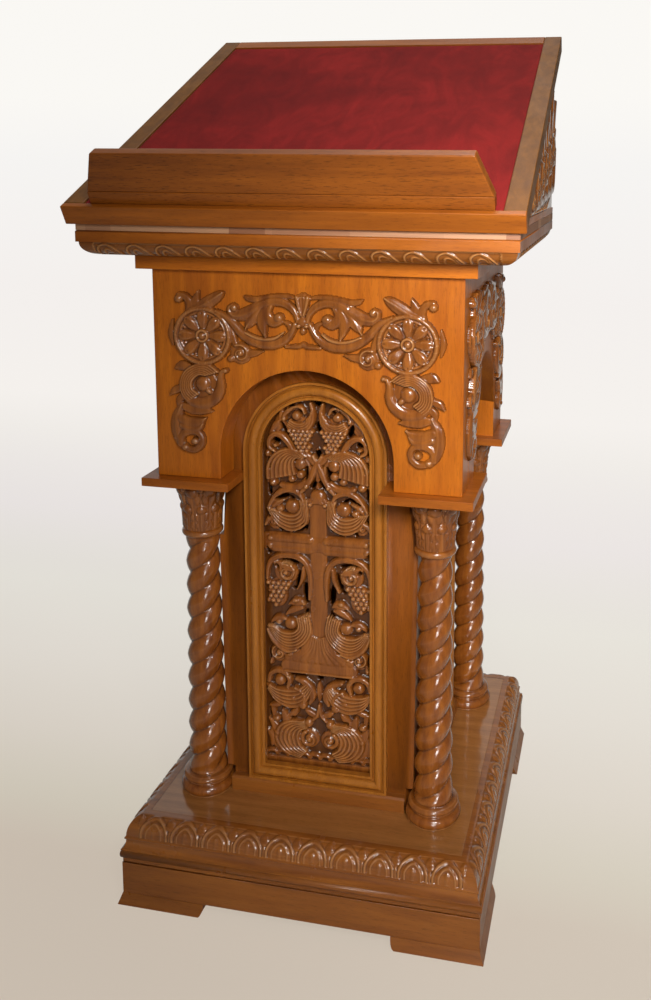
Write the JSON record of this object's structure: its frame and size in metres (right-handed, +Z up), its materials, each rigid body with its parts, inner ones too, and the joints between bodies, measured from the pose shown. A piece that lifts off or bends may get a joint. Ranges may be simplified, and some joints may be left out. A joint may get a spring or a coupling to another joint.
{
  "type": "lectern",
  "caption": "Carved wooden lectern with a sloping velvet-faced desk and book stop, an arched box on barley twist columns round a pierced vine core, and a moulded plinth.",
  "frame": {"origin": "middle of the overall box, at floor level", "axes": "+X to the right across the front, +Y away from the reader, +Z up; the low edge of the desk faces -Y"},
  "size_m": [0.602, 0.5672, 1.2738],
  "materials": {
    "case_wood": "orange-brown stained wood under a gloss varnish",
    "carved_wood": "carved wood with a redder stain and a high gloss varnish",
    "column_wood": "turned and twisted wood under a gloss varnish",
    "moulding_wood": "carved moulding under a gloss varnish",
    "frame_wood": "lighter yellow-brown moulding under a satin varnish",
    "plain_ply": "raw plywood, matt",
    "stop_oak": "oak with an open grain under a satin varnish",
    "velvet": "dark red velvet"
  },
  "bodies": {
    "root": {"foot_front_left": "case_wood", "foot_front_right": "case_wood", "foot_rear_left": "case_wood", "foot_rear_right": "case_wood", "skirting_boards": "case_wood", "plinth_base_board": "case_wood", "plinth_bearers": "plain_ply", "plinth_mouldings": "moulding_wood", "plinth_top_board": "case_wood", "core_posts": "plain_ply", "core_skirting_strips": "case_wood", "core_panel_front": "case_wood", "core_panel_right": "case_wood", "core_panel_rear": "case_wood", "core_panel_left": "case_wood", "arch_frame_front": "frame_wood", "arch_frame_right": "frame_wood", "arch_frame_rear": "frame_wood", "arch_frame_left": "frame_wood", "carved_panel_front": "carved_wood", "carved_panel_right": "carved_wood", "plain_panel_rear": "case_wood", "carved_panel_left": "carved_wood", "column_front_left": "column_wood", "column_front_right": "column_wood", "column_rear_left": "column_wood", "column_rear_right": "column_wood", "capital_front_left": "carved_wood", "capital_front_right": "carved_wood", "capital_rear_left": "carved_wood", "capital_rear_right": "carved_wood", "impost_front_left": "case_wood", "impost_front_right": "case_wood", "impost_rear_left": "case_wood", "impost_rear_right": "case_wood", "box_board_front": "case_wood", "box_board_right": "case_wood", "box_board_rear": "case_wood", "box_board_left": "case_wood", "box_carving_front": "carved_wood", "box_carving_right": "carved_wood", "box_carving_left": "carved_wood", "fillet_board": "case_wood", "cornice_mouldings": "moulding_wood", "cornice_board": "case_wood", "desk_bottom": "plain_ply", "desk_side_left": "case_wood", "desk_side_right": "case_wood", "desk_back_board": "case_wood", "side_carving_left": "carved_wood", "side_carving_right": "carved_wood", "slab_stile_left": "case_wood", "slab_stile_right": "case_wood", "slab_top_rail": "case_wood", "slab_front_rail": "case_wood", "slab_board": "plain_ply", "velvet": "velvet", "book_stop_strip": "stop_oak", "book_stop": "stop_oak"}
  },
  "joints": []
}
